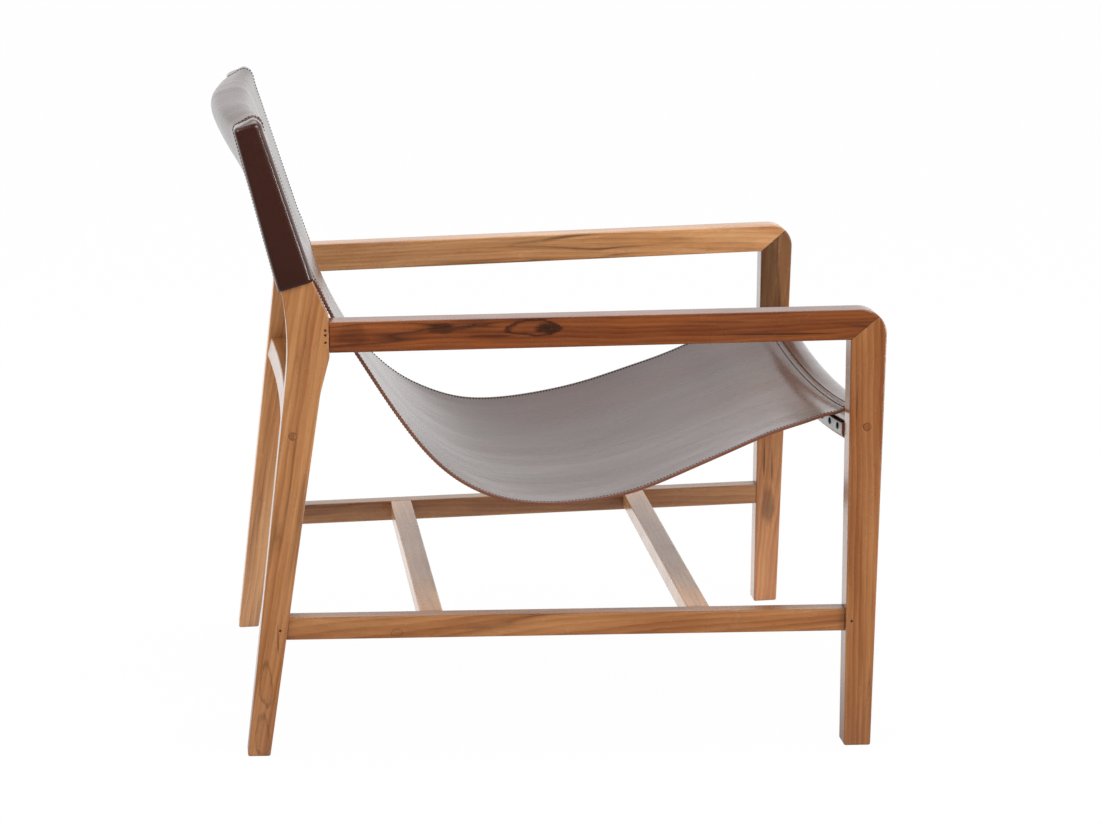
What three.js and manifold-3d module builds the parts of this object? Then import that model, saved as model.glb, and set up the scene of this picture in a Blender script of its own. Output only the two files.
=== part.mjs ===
// Leather sling lounge chair: two teak side frames, joined by two cross stretchers, a back
// rail and a dished front rail, with one long piece of leather hung between them.
// Millimetres, +Z up. The chair faces -Y and stands on Z = 0. "Along" is measured forward
// from the heel of the back legs, "up" from the floor, and "in" from a frame's outer face.
import * as THREE from "three";
import Module from "manifold-3d";

const wasm = await Module();
wasm.setup();

// Whole chair
const FRAME_DEPTH = 761;
const HALF_WIDTH_FRONT = 338;
const HALF_WIDTH_REAR = 291;
const FRAME_LEAN = 19;
const FRAME_THICK = 31;
const EDGE_ROUND = 1.8;
const FIT_GAP = 0.3;
const CURVE_SAG = 0.08;
const OVERRUN = 60;

// Back leg, which runs on upwards as the post of the back; rises and drops are from the arm
const POST_RISE = 228.5;
const POST_FOOT = 27;
const POST_REACH = 106.5;
const POST_KNEE_ALONG = 62.5;
const POST_KNEE_DROP = 4.5;
const POST_KNEE_RADIUS = 340;
const POST_TOP_ALONG = 6;
const POST_TOP_WIDTH = 26;
const POST_TOP_SLANT = 8;
const POST_NECK_ALONG = 89.5;
const POST_NECK_RISE = 44.5;
const POST_NECK_RADIUS = 90;
const POST_SHANK_ALONG = 95;
const POST_SHANK_DROP = 84.5;
const POST_SHANK_RADIUS = 110;
const POST_SHOULDER = 5.5;
const POST_SHOULDER_RADIUS = 22;

// Arm and front leg, mitred to each other
const ARM_REAR_UP = 524.5;
const ARM_FRONT_UP = 532;
const ARM_THICK = 36.5;
const LEG_RAKE = 14.5;
const LEG_FOOT = 32;
const LEG_TOP = 43.5;
const CORNER_RADIUS = 30;
const FOOT_ROUND = 2.5;

// Stretchers
const STRETCHER_TOP = 168;
const STRETCHER_HEIGHT = 27;
const STRETCHER_THICK = 24;
const STRETCHER_INSET = 6;
const CROSS_REAR_ALONG = 209;
const CROSS_FRONT_SETBACK = 158;
const CROSS_WIDTH = 28;
const CROSS_HEIGHT = 22;

// Tenons, and the loose tongue in the mitre
const TENON_THICK = 12;
const TENON_HEIGHT = 17;
const TENON_LENGTH = 16;
const CROSS_TENON_HEIGHT = 13;
const CROSS_TENON_WIDTH = 18;
const CROSS_TENON_LENGTH = 12;
const ARM_TENON_HEIGHT = 24;
const ARM_TENON_LENGTH = 22;
const TONGUE_LENGTH = 20;
const TONGUE_WIDTH = 24;
const TONGUE_THICK = 8;

// Pins, bolts and plugs
const PIN_DIAMETER = 2.4;
const PIN_LENGTH = 22;
const ARM_PIN_SETBACK = 4.6;
const TENON_PIN_SETBACK = 7.5;
const arm_pin_up_shares = [0.26, 0.62, 0.86];
const BOLT_DIAMETER = 6;
const BOLT_HEAD_DIAMETER = 8.4;
const BOLT_HEAD_LENGTH = 5;
const BOLT_LENGTH = 62;
const PLUG_DIAMETER = 9;
const PLUG_LENGTH = 6;

// Back rail
const BACK_RAIL_UP = 377;
const BACK_RAIL_HEIGHT = 24.5;
const BACK_RAIL_DEPTH = 25;
const BACK_RAIL_LEAN = 5;
const BACK_RAIL_SETBACK = 1;
const BACK_RAIL_BOW = 7;
const BACK_RAIL_TENON_HEIGHT = 16;
const BACK_RAIL_TENON_DEPTH = 16;

// Front rail: a flat bottom and a round top, dished towards its middle
const RAIL_SETBACK = 3;
const RAIL_DEPTH = 36;
const RAIL_UP = 373;
const RAIL_HEIGHT = 36.5;
const RAIL_EDGE_ROUND = 4;
const RAIL_DISH = 18;
const RAIL_TENON_HEIGHT = 20;
const RAIL_TENON_DEPTH = 20;
const RAIL_TENON_LENGTH = 12;
const rail_spans = 16;

// Sling: a long sheet of leather, with its tail nailed to the back of the front rail
const LEATHER = 3.5;
const WRAP_GAP = 0.6;
const SLING_SIDE_GAP = 4;
const SLING_SAG = 10;
const TAIL_HEIGHT = 16;
const sling_spans = 10;
const back_rise_shares = [0.978, 0.63, 0.216];
const back_sag_shares = [0.9, 0.62, 0.5];
const seat_edge_along_shares = [
  0.155, 0.188, 0.227, 0.272, 0.325, 0.374, 0.434, 0.494, 0.574, 0.655, 0.735, 0.815, 0.888, 0.946,
];
const seat_edge_up_shares = [
  1.287, 1.175, 1.059, 0.938, 0.837, 0.775, 0.74, 0.731, 0.746, 0.775, 0.822, 0.877, 0.926, 0.96,
];
const seat_middle_along_shares = [
  0.149, 0.182, 0.22, 0.264, 0.317, 0.367, 0.43, 0.494, 0.577, 0.655, 0.735, 0.815, 0.888, 0.946,
];
const seat_middle_up_shares = [
  1.282, 1.169, 1.051, 0.927, 0.821, 0.751, 0.709, 0.697, 0.71, 0.738, 0.784, 0.839, 0.889, 0.923,
];
const wrap_turns = 0.36;
const wrap_steps = 7;
const hang_steps = 26;

// Hood of the back: a sleeve over each post, and a flap from the sling over and down behind
const SLEEVE_WALL = 3;
const SLEEVE_SLACK = 5;
const SLEEVE_ROUND = 5;
const SLEEVE_TOP_ROUND = 9;
const SLEEVE_FOOT_RISE = 36.5;
const SLEEVE_FOOT_SLANT = 12.5;
const FLAP_BULGE = 26;
const flap_steps = 26;
const flap_across_shares = [1, 0.93, 0.7, 0.35, 0.08, 0, 0, 0, 0, 0, 0, 0, 0, 0, 0];
const flap_rise_shares = [
  0.98, 1.012, 1.026, 1.015, 0.992, 0.955, 0.9, 0.83, 0.76, 0.69, 0.62, 0.54, 0.4, 0.28, 0.16,
];
const flap_bulge_shares = [
  0, 0.5, 0.65, 0.75, 0.85, 0.93, 1, 0.98, 0.8, 0.45, 0.15, 0.02, 0, 0, 0,
];

// Nails along the tail
const nail_count = 12;
const NAIL_HEAD_DIAMETER = 10;
const NAIL_HEAD_HEIGHT = 2.4;
const NAIL_SHANK_DIAMETER = 2;
const NAIL_LENGTH = 14;
const NAIL_END_MARGIN = 27;
const nail_dome_shares = [[0, 1], [0.55, 0.84], [0.9, 0.4], [1, 0]];

const post_height = ARM_REAR_UP + POST_RISE;
const leg_along = FRAME_DEPTH - LEG_RAKE - LEG_FOOT;
const cross_front_along = leg_along - CROSS_FRONT_SETBACK - CROSS_WIDTH;
const splay_slope = (HALF_WIDTH_FRONT - HALF_WIDTH_REAR) / FRAME_DEPTH;
const lean_slope = FRAME_LEAN / post_height;
const arm_slope = (ARM_FRONT_UP - ARM_REAR_UP) / (FRAME_DEPTH - POST_REACH);
const sides = [{ name: "left", sign: 1 }, { name: "right", sign: -1 }];

// Distance from the chair's middle to a frame's outer face
function halfWidth(along, up) {
  return HALF_WIDTH_REAR + splay_slope * along - lean_slope * up;
}

// Turns a triangle mesh into a solid; a mirrored one has its triangles turned round
function toSolid(geometry, mirrored = false) {
  const place = geometry.getAttribute("position");
  const index = geometry.index;
  const seen = new Map();
  const points = [];
  const ids = [];
  for (let i = 0; i < place.count; i += 1) {
    const key = [place.getX(i), place.getY(i), place.getZ(i)].map((v) => v.toFixed(5)).join();
    if (!seen.has(key)) {
      seen.set(key, points.length / 3);
      points.push(place.getX(i), place.getY(i), place.getZ(i));
    }
    ids.push(seen.get(key));
  }
  const corners = index ? Array.from(index.array, (i) => ids[i]) : ids;
  const triangles = [];
  for (let i = 0; i < corners.length; i += 3) {
    const [a, b, c] = corners.slice(i, i + 3);
    if (a === b || b === c || a === c) continue;
    triangles.push(...(mirrored ? [a, c, b] : [a, b, c]));
  }
  return new wasm.Manifold(new wasm.Mesh({
    numProp: 3,
    vertProperties: new Float32Array(points),
    triVerts: new Uint32Array(triangles),
  }));
}

// Carries (along, up, in) to the chair's own axes, for the left or the right frame
function frameMatrix(sign) {
  return new THREE.Matrix4().set(
    sign * splay_slope, -sign * lean_slope, -sign, sign * HALF_WIDTH_REAR,
    -1, 0, 0, 0,
    0, 1, 0, 0,
    0, 0, 0, 1,
  );
}

// A closed outline with some of its corners rounded; each point is [along, up, radius]
function rounded(points) {
  const outline = [];
  points.forEach(([along, up, radius = 0], i) => {
    if (radius === 0) {
      outline.push([along, up]);
      return;
    }
    const at = new THREE.Vector2(along, up);
    const [before, after] = [points.at(i - 1), points[(i + 1) % points.length]].map(
      ([a, u]) => new THREE.Vector2(a, u).sub(at).normalize());
    const half = Math.acos(THREE.MathUtils.clamp(before.dot(after), -1, 1)) / 2;
    const inward = before.clone().add(after).normalize();
    const middle = inward.multiplyScalar(radius / Math.sin(half)).add(at);
    const first = before.multiplyScalar(radius / Math.tan(half)).add(at).sub(middle);
    const last = after.multiplyScalar(radius / Math.tan(half)).add(at).sub(middle);
    const turn = Math.atan2(first.cross(last), first.dot(last));
    const steps = Math.ceil(Math.abs(turn) / Math.acos(1 - CURVE_SAG / radius) / 2);
    for (let step = 0; step <= steps; step += 1) {
      const spoke = first.clone().rotateAround(new THREE.Vector2(), (turn * step) / steps);
      outline.push([middle.x + spoke.x, middle.y + spoke.y]);
    }
  });
  return outline;
}

function toShape(outline) {
  return new THREE.Shape(outline.map(([along, up]) => new THREE.Vector2(along, up)));
}

// A board of a side frame: an outline, from one depth to another, with eased edges
function board(sign, outline, from, to, edge = 0, segments = 2) {
  const geometry = new THREE.ExtrudeGeometry(toShape(outline), {
    depth: to - from - 2 * edge,
    bevelEnabled: edge > 0,
    bevelThickness: edge,
    bevelSize: edge,
    bevelOffset: -edge,
    bevelSegments: segments,
  });
  geometry.translate(0, 0, from + edge);
  geometry.applyMatrix4(frameMatrix(sign));
  return toSolid(geometry, sign < 0);
}

function rectangle(along, up, length, height, grow = 0) {
  return [
    [along - grow, up - grow],
    [along + length + grow, up - grow],
    [along + length + grow, up + height + grow],
    [along - grow, up + height + grow],
  ];
}

// A round peg of a side frame, from its profile of [depth, radius] pairs
function peg(sign, along, up, profile, grow = 0, segments = 16) {
  const last = profile.length - 1;
  const points = profile.map(([depth, radius], i) => {
    const stretch = i === 0 ? -grow : i === last ? grow : 0;
    return new THREE.Vector2(radius + grow, depth + stretch);
  });
  points.unshift(new THREE.Vector2(0, points[0].y));
  points.push(new THREE.Vector2(0, points.at(-1).y));
  const geometry = new THREE.LatheGeometry(points, segments);
  geometry.rotateX(Math.PI / 2);
  geometry.translate(along, up, 0);
  geometry.applyMatrix4(frameMatrix(sign));
  return toSolid(geometry, sign < 0);
}

// Triangles that close a ring: a sheet's ring runs out along one face and back along the other
function capOf(ring, isSheet) {
  if (!isSheet) {
    const flat = ring.map(([, along, up]) => new THREE.Vector2(along, up));
    return THREE.ShapeUtils.triangulateShape(flat, []);
  }
  const last = ring.length - 1;
  return Array.from({ length: ring.length / 2 - 1 }, (_, i) => [
    [i, i + 1, last - i - 1], [i, last - i - 1, last - i],
  ]).flat();
}

// A solid swept across the chair: sectionAt(share) gives a closed ring of [x, along, up]
function sweepAcross(spans, sectionAt, isSheet = false) {
  const rings = [];
  for (let span = 0; span <= spans; span += 1) rings.push(sectionAt((2 * span) / spans - 1));
  const count = rings[0].length;
  const points = rings.flat().flatMap(([x, along, up]) => [x, -along, up]);
  const index = [];
  for (let span = 0; span < spans; span += 1) {
    for (let i = 0; i < count; i += 1) {
      const a = span * count + i;
      const b = span * count + ((i + 1) % count);
      index.push(a, a + count, b, b, a + count, b + count);
    }
  }
  capOf(rings[0], isSheet).forEach(([a, b, c]) => index.push(a, b, c));
  const last = spans * count;
  capOf(rings[spans], isSheet).forEach(([a, b, c]) => index.push(last + a, last + c, last + b));
  const geometry = new THREE.BufferGeometry();
  geometry.setAttribute("position", new THREE.Float32BufferAttribute(points, 3));
  geometry.setIndex(index);
  const found = toSolid(geometry);
  return found.volume() > 0 ? found : toSolid(geometry, true);
}

// The room between the two frames, up to a depth measured in from their outer faces
function between(depth) {
  const length = FRAME_DEPTH + 2 * OVERRUN;
  const height = post_height + 2 * OVERRUN;
  const ring = rectangle(-OVERRUN, -OVERRUN, length, height);
  return sweepAcross(1, (share) => ring.map(([along, up]) => [
    share * (halfWidth(along, up) - depth), along, up,
  ]));
}

// Outlines of the back leg and of the arm with the front leg
const arm_rear_down = ARM_REAR_UP - ARM_THICK;
const knee_up = ARM_REAR_UP - POST_KNEE_DROP;
const neck_up = ARM_REAR_UP + POST_NECK_RISE;
const shank_up = ARM_REAR_UP - POST_SHANK_DROP;
const post_top_front = POST_TOP_ALONG + POST_TOP_WIDTH;
const post_top_rear_up = post_height - POST_TOP_SLANT;
const post_outline = rounded([
  [0, 0, FOOT_ROUND],
  [POST_FOOT, 0, FOOT_ROUND],
  [POST_SHANK_ALONG, shank_up, POST_SHANK_RADIUS],
  [POST_REACH, arm_rear_down - POST_SHOULDER, POST_SHOULDER_RADIUS],
  [POST_REACH, ARM_REAR_UP + POST_SHOULDER],
  [POST_NECK_ALONG, neck_up, POST_NECK_RADIUS],
  [post_top_front, post_height, FOOT_ROUND],
  [POST_TOP_ALONG, post_top_rear_up, FOOT_ROUND],
  [POST_KNEE_ALONG, knee_up, POST_KNEE_RADIUS],
]);

const arm_front_down = ARM_FRONT_UP - ARM_THICK;
const mitre_inner = [FRAME_DEPTH - LEG_TOP, arm_front_down];
const mitre_outer = [FRAME_DEPTH, ARM_FRONT_UP];
const arm_start = POST_REACH - ARM_TENON_LENGTH;
const corner_outline = rounded([
  [leg_along, 0, FOOT_ROUND],
  [leg_along + LEG_FOOT, 0, FOOT_ROUND],
  [...mitre_outer, CORNER_RADIUS],
  [arm_start, ARM_REAR_UP - arm_slope * ARM_TENON_LENGTH],
  [arm_start, arm_rear_down - arm_slope * ARM_TENON_LENGTH],
  mitre_inner,
]);

// The arm's or the leg's share of the corner, cut back a little from the mitre
const mitre_run = mitre_outer.map((value, i) => value - mitre_inner[i]);
const mitre_length = Math.hypot(...mitre_run);
function mitreCut(isArm) {
  const turn = isArm ? 1 : -1;
  const across = [-mitre_run[1] / mitre_length, mitre_run[0] / mitre_length].map((v) => v * turn);
  const reach = FRAME_DEPTH + OVERRUN;
  const at = (share, off) => mitre_inner.map(
    (value, i) => value + mitre_run[i] * share + across[i] * off);
  const far_share = OVERRUN / mitre_length;
  const outline = [
    at(1 + far_share, FIT_GAP / 2), at(0, FIT_GAP / 2), at(-far_share * reach / OVERRUN, FIT_GAP / 2),
    at(-far_share * reach / OVERRUN, reach), at(1 + far_share, reach),
  ];
  return isArm ? outline : outline.reverse();
}

// The loose tongue lies square across the mitre
function tongueOutline(grow = 0) {
  const centre = mitre_inner.map((value, i) => value + mitre_run[i] / 2);
  const run = mitre_run.map((value) => value / mitre_length);
  const across = [-run[1], run[0]];
  const half_along = TONGUE_WIDTH / 2 + grow;
  const half_across = TONGUE_LENGTH / 2 + grow;
  const signs = [[-1, -1], [1, -1], [1, 1], [-1, 1]];
  return signs.map(([a, b]) => centre.map(
    (value, i) => value + run[i] * half_along * a + across[i] * half_across * b));
}

// Where a side's boards start and end, and the middle of their tenons
const stretcher_low = STRETCHER_TOP - STRETCHER_HEIGHT;
const stretcher_in = STRETCHER_INSET + STRETCHER_THICK;
const tenon_in = STRETCHER_INSET + (STRETCHER_THICK - TENON_THICK) / 2;
const tenon_low = stretcher_low + (STRETCHER_HEIGHT - TENON_HEIGHT) / 2;
const post_front_slope = (POST_SHANK_ALONG - POST_FOOT) / shank_up;
const post_front_low = POST_FOOT + post_front_slope * tenon_low;
const arm_tenon_in = (FRAME_THICK - TENON_THICK) / 2;
const arm_tenon_low = arm_rear_down + (ARM_THICK - ARM_TENON_HEIGHT) / 2;
const tongue_in = (FRAME_THICK - TONGUE_THICK) / 2;

function stretcherTenon(sign, grow = 0) {
  const start = post_front_low - TENON_LENGTH;
  const length = leg_along + TENON_LENGTH - start;
  const outline = rectangle(start, tenon_low, length, TENON_HEIGHT, grow);
  return board(sign, outline, tenon_in - grow, tenon_in + TENON_THICK + grow);
}

function armTenon(sign, grow = 0) {
  const start = POST_REACH - ARM_TENON_LENGTH;
  const outline = rectangle(start, arm_tenon_low, 2 * ARM_TENON_LENGTH, ARM_TENON_HEIGHT, grow);
  return board(sign, outline, arm_tenon_in - grow, arm_tenon_in + TENON_THICK + grow);
}

function tongue(sign, grow = 0) {
  return board(sign, tongueOutline(grow), tongue_in - grow, tongue_in + TONGUE_THICK + grow);
}

// Cross members: straight stretchers, and two rails that follow a curve
function crossBar(along, width, low, height, depth, grow = 0) {
  const ring = rectangle(along, low, width, height, grow);
  const bar = sweepAcross(1, (share) => ring.map(([a, u]) => [share * HALF_WIDTH_FRONT, a, u]));
  return bar.intersect(between(depth - grow));
}

const cross_tenon_low = STRETCHER_TOP - (CROSS_HEIGHT + CROSS_TENON_HEIGHT) / 2;
function crossTenon(along, grow = 0) {
  const start = along + (CROSS_WIDTH - CROSS_TENON_WIDTH) / 2;
  const depth = stretcher_in - CROSS_TENON_LENGTH;
  return crossBar(start, CROSS_TENON_WIDTH, cross_tenon_low, CROSS_TENON_HEIGHT, depth, grow);
}

function crossStretcher(along) {
  const chamfered = rounded(
    rectangle(along, STRETCHER_TOP - CROSS_HEIGHT, CROSS_WIDTH, CROSS_HEIGHT)
      .map(([a, u]) => [a, u, EDGE_ROUND]));
  const bar = sweepAcross(1, (share) => (
    chamfered.map(([a, u]) => [share * HALF_WIDTH_FRONT, a, u])));
  return bar.intersect(between(stretcher_in + FIT_GAP)).add(crossTenon(along));
}

const post_rear_slope = POST_KNEE_ALONG / knee_up;
const back_rail_along = post_rear_slope * BACK_RAIL_UP + BACK_RAIL_SETBACK;
const back_rail_half = halfWidth(back_rail_along, BACK_RAIL_UP) - FRAME_THICK;
const back_rail_centre = {
  along: back_rail_along + (BACK_RAIL_DEPTH + BACK_RAIL_LEAN) / 2,
  up: BACK_RAIL_UP + BACK_RAIL_HEIGHT / 2,
};
function backRailTenon(grow = 0) {
  const along = back_rail_centre.along - BACK_RAIL_TENON_DEPTH / 2;
  const low = back_rail_centre.up - BACK_RAIL_TENON_HEIGHT / 2;
  const depth = FRAME_THICK - RAIL_TENON_LENGTH;
  return crossBar(along, BACK_RAIL_TENON_DEPTH, low, BACK_RAIL_TENON_HEIGHT, depth, grow);
}

function backRail() {
  const top_along = back_rail_along + BACK_RAIL_LEAN;
  const high = BACK_RAIL_UP + BACK_RAIL_HEIGHT;
  const ring = rounded([
    [back_rail_along, BACK_RAIL_UP, EDGE_ROUND],
    [back_rail_along + BACK_RAIL_DEPTH, BACK_RAIL_UP, EDGE_ROUND],
    [top_along + BACK_RAIL_DEPTH, high, EDGE_ROUND],
    [top_along, high, EDGE_ROUND],
  ]);
  const reach = back_rail_half + FRAME_THICK;
  const bar = sweepAcross(rail_spans, (share) => {
    const x = share * reach;
    const bow = BACK_RAIL_BOW * Math.max(0, 1 - (x / back_rail_half) ** 2);
    return ring.map(([a, u]) => [x, a + bow, u]);
  });
  const ends = backRailTenon().subtract(between(FRAME_THICK + FIT_GAP + RAIL_TENON_LENGTH));
  return bar.intersect(between(FRAME_THICK + FIT_GAP)).add(ends);
}

const rail_along = leg_along + RAIL_SETBACK + RAIL_EDGE_ROUND / 2;
const rail_half = halfWidth(rail_along, RAIL_UP) - FRAME_THICK;
const rail_round = RAIL_DEPTH / 2;
const rail_round_up = RAIL_UP + RAIL_HEIGHT - rail_round;
const rail_middle_along = rail_along + rail_round;
function railDrop(x) {
  return RAIL_DISH * (Math.min(1, Math.abs(x) / rail_half) ** 2 - 1);
}

function railTenon(grow = 0) {
  const along = rail_middle_along - RAIL_TENON_DEPTH / 2;
  const low = RAIL_UP + (RAIL_HEIGHT - RAIL_TENON_HEIGHT) / 2;
  const depth = FRAME_THICK - RAIL_TENON_LENGTH;
  return crossBar(along, RAIL_TENON_DEPTH, low, RAIL_TENON_HEIGHT, depth, grow);
}

// The rail's outline, grown outwards by an amount, from its top rear down round its bottom
function wrapPoint(turns, grow) {
  const angle = turns * 2 * Math.PI;
  const radius = rail_round + grow;
  return [rail_middle_along + radius * Math.cos(angle), rail_round_up + radius * Math.sin(angle)];
}

function frontRail() {
  const ring = [];
  const top_steps = 12;
  for (let step = 0; step <= top_steps; step += 1) ring.push(wrapPoint((step / top_steps) / 2, 0));
  ring.push(
    [rail_along, RAIL_UP + RAIL_EDGE_ROUND], [rail_along + RAIL_EDGE_ROUND, RAIL_UP],
    [rail_along + RAIL_DEPTH - RAIL_EDGE_ROUND, RAIL_UP],
    [rail_along + RAIL_DEPTH, RAIL_UP + RAIL_EDGE_ROUND],
  );
  // The first and last spans lie in the legs, and the dish starts between them
  const bar = sweepAcross(rail_spans, (share) => {
    const inside = (share * rail_spans) / (rail_spans - 2);
    const x = Math.abs(inside) > 1 ? Math.sign(share) * (rail_half + FRAME_THICK) : inside * rail_half;
    return ring.map(([a, u]) => [x, a, u + railDrop(x)]);
  });
  const ends = railTenon().subtract(between(FRAME_THICK + FIT_GAP + RAIL_TENON_LENGTH));
  return bar.intersect(between(FRAME_THICK + FIT_GAP)).add(ends);
}

// Lines that the hood follows down the posts, and heights told from the arm
const post_back_lean = (POST_KNEE_ALONG - POST_TOP_ALONG) / (post_top_rear_up - knee_up);
const post_front_lean = (POST_NECK_ALONG - post_top_front) / (post_height - neck_up);
const sleeve_wall = SLEEVE_WALL + FIT_GAP;
const riseUp = (share) => ARM_REAR_UP + share * POST_RISE;
function hoodBack(up) {
  return POST_TOP_ALONG + post_back_lean * (post_top_rear_up - up) - sleeve_wall;
}

function hoodFront(up) {
  return post_top_front + post_front_lean * (post_height - up) + sleeve_wall;
}

// One face of a sheet, half its thickness to a side of the sheet's own middle line
function offsetRun(line, side, beyond = line.at(-1)) {
  return line.map((point, i) => {
    const run = (line[i + 1] ?? beyond).clone().sub(line[Math.max(0, i - 1)]).normalize();
    const half = (side * LEATHER) / 2;
    return [point.x - run.y * half, point.y + run.x * half];
  });
}

// The sling's run down the back, along the seat and round the rail
const rail_reach = leg_along + RAIL_SETBACK;
const rail_top = RAIL_UP + RAIL_HEIGHT;
function hangCurve(sag, along_shares, up_shares) {
  const back = back_rise_shares.map((share, i) => new THREE.Vector2(
    hoodFront(riseUp(share)) - LEATHER / 2 - sag * back_sag_shares[i], riseUp(share)));
  const seat = along_shares.map(
    (share, i) => new THREE.Vector2(share * rail_reach, up_shares[i] * rail_top));
  return new THREE.SplineCurve([...back, ...seat]).getPoints(hang_steps);
}

function wrapRun(grow) {
  const run = [];
  for (let step = 0; step <= wrap_steps; step += 1) {
    run.push(wrapPoint(wrap_turns * (1 - step / wrap_steps), grow));
  }
  const cut = RAIL_EDGE_ROUND;
  const front = rail_along + RAIL_DEPTH;
  run.push(
    [front + grow, RAIL_UP + cut], [front - cut, RAIL_UP - grow],
    [rail_along + cut, RAIL_UP - grow], [rail_along - grow, RAIL_UP + cut],
    [rail_along - grow, RAIL_UP + TAIL_HEIGHT],
  );
  return run;
}

const edge_hang = hangCurve(0, seat_edge_along_shares, seat_edge_up_shares);
const middle_hang = hangCurve(SLING_SAG, seat_middle_along_shares, seat_middle_up_shares);

// One face of the sling; a point is [along, up, how far it follows the rail's dish]
function slingRun(share, side) {
  const wrap = wrapRun(WRAP_GAP + LEATHER / 2 + (side * LEATHER) / 2);
  const line = edge_hang.map((edge, i) => middle_hang[i].clone().lerp(edge, share ** 2));
  const beyond = line.at(-1).clone().multiplyScalar(2).sub(line.at(-2));
  const hang = offsetRun(line, side, beyond.setX(wrap[0][0]));
  return [...hang.map(([a, u]) => [a, u, 0]), ...wrap.map(([a, u]) => [a, u, 1])];
}

// A sheet hung between the frames, from its two faces at each share of the way across
function hungSheet(runAt) {
  const depth = FRAME_THICK + SLING_SIDE_GAP;
  return sweepAcross(sling_spans, (share) => {
    const ring = [...runAt(share, 1), ...runAt(share, -1).reverse()];
    return ring.map(([along, up, follows = 0]) => {
      const x = share * (halfWidth(along, up) - depth);
      return [x, along, up + follows * railDrop(x)];
    });
  }, true);
}

function sling() {
  return nailPlaces().reduce((rest, x) => rest.subtract(nail(x, FIT_GAP)), hungSheet(slingRun));
}

// The flap goes on from the sling's top edge, over and down behind, bulging at its middle
function flapRun(share, side) {
  const line = flap_rise_shares.map((rise, i) => {
    const across = flap_across_shares[i];
    const back = hoodBack(riseUp(rise)) + LEATHER / 2;
    const front = hoodFront(riseUp(rise)) - LEATHER / 2;
    const bulge = FLAP_BULGE * flap_bulge_shares[i] * (1 - across);
    const sag = SLING_SAG * back_sag_shares[0] * across;
    const place = THREE.MathUtils.lerp(back, front, across) - (bulge + sag) * (1 - share ** 2);
    return new THREE.Vector2(place, riseUp(rise));
  });
  return offsetRun(new THREE.SplineCurve(line).getPoints(flap_steps), side);
}

// A leather pocket over the top of a post, cut off straight above the arm
function sleeve(sign) {
  const foot = ARM_REAR_UP + SLEEVE_FOOT_RISE;
  const back_up = post_top_rear_up + sleeve_wall + SLEEVE_SLACK;
  const front_up = post_height + sleeve_wall + SLEEVE_SLACK;
  const skin = board(sign, rounded([
    [hoodBack(foot - OVERRUN), foot - OVERRUN],
    [hoodFront(foot - OVERRUN), foot - OVERRUN],
    [hoodFront(front_up), front_up, SLEEVE_TOP_ROUND],
    [hoodBack(back_up), back_up, SLEEVE_TOP_ROUND],
  ]), -sleeve_wall, FRAME_THICK + sleeve_wall, SLEEVE_ROUND, 4);
  const core = board(sign, grownPost(FIT_GAP), -FIT_GAP, FRAME_THICK + FIT_GAP);
  const below = board(sign, [
    [hoodBack(foot) - OVERRUN, foot - 2 * OVERRUN], [hoodFront(foot) + OVERRUN, foot - 2 * OVERRUN],
    [hoodFront(foot), foot + SLEEVE_FOOT_SLANT], [hoodBack(foot), foot], [hoodBack(foot) - OVERRUN, foot],
  ], -OVERRUN, FRAME_THICK + OVERRUN);
  return without(skin, [core, below]);
}

// The post's outline with its upper stretch moved out by a clearance
function grownPost(slack) {
  return rounded([
    [0, shank_up],
    [POST_SHANK_ALONG, shank_up],
    [POST_REACH + slack, arm_rear_down],
    [POST_REACH + slack, ARM_REAR_UP + POST_SHOULDER + slack],
    [POST_NECK_ALONG + slack, neck_up + slack, POST_NECK_RADIUS],
    [post_top_front + slack, post_height + slack],
    [POST_TOP_ALONG - slack, post_top_rear_up + slack],
    [POST_KNEE_ALONG - slack, knee_up, POST_KNEE_RADIUS],
  ]);
}

// Nails through the tail into the back of the rail
function nailPlaces() {
  const reach = rail_half - SLING_SIDE_GAP - NAIL_END_MARGIN;
  return Array.from({ length: nail_count }, (_, i) => ((2 * i) / (nail_count - 1) - 1) * reach);
}

function nail(x, grow = 0) {
  const head = NAIL_HEAD_DIAMETER / 2;
  const shank = NAIL_SHANK_DIAMETER / 2 + grow;
  const tip = [[shank, -NAIL_LENGTH - grow], [0, -NAIL_LENGTH - grow]];
  const dome = nail_dome_shares.map(([out, high]) => [head * out, NAIL_HEAD_HEIGHT * high]);
  const profile = grow > 0 ? [[0, OVERRUN], [shank, OVERRUN], ...tip] : [...dome, [shank, 0], ...tip];
  const points = profile.map(([radius, high]) => new THREE.Vector2(radius, high)).reverse();
  const geometry = new THREE.LatheGeometry(points, 10);
  const seat = rail_along - WRAP_GAP - LEATHER - FIT_GAP;
  const up = RAIL_UP + (RAIL_EDGE_ROUND + TAIL_HEIGHT) / 2 + railDrop(x);
  geometry.translate(x, -seat, up);
  const found = toSolid(geometry);
  return found.volume() > 0 ? found : toSolid(geometry, true);
}

// Pins, bolts and plugs of one side
function pin(sign, along, up, grow = 0) {
  const start = grow > 0 ? -OVERRUN : 0;
  return peg(sign, along, up, [[start, PIN_DIAMETER / 2], [PIN_LENGTH, PIN_DIAMETER / 2]], grow, 8);
}

const tenon_up = tenon_low + TENON_HEIGHT / 2;
const pins = [
  ...arm_pin_up_shares.map((share, i) => ({
    name: `arm_pin_${i + 1}`,
    along: POST_REACH - ARM_PIN_SETBACK,
    up: arm_tenon_low + share * ARM_TENON_HEIGHT,
  })),
  { name: "stretcher_pin_rear", along: post_front_low - TENON_PIN_SETBACK, up: tenon_up },
  { name: "stretcher_pin_front", along: leg_along + TENON_PIN_SETBACK, up: tenon_up },
];

const bolts = [
  { name: "back_rail", along: back_rail_centre.along, up: back_rail_centre.up },
  { name: "front_rail", along: rail_middle_along, up: RAIL_UP + RAIL_HEIGHT / 2 },
];

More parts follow.
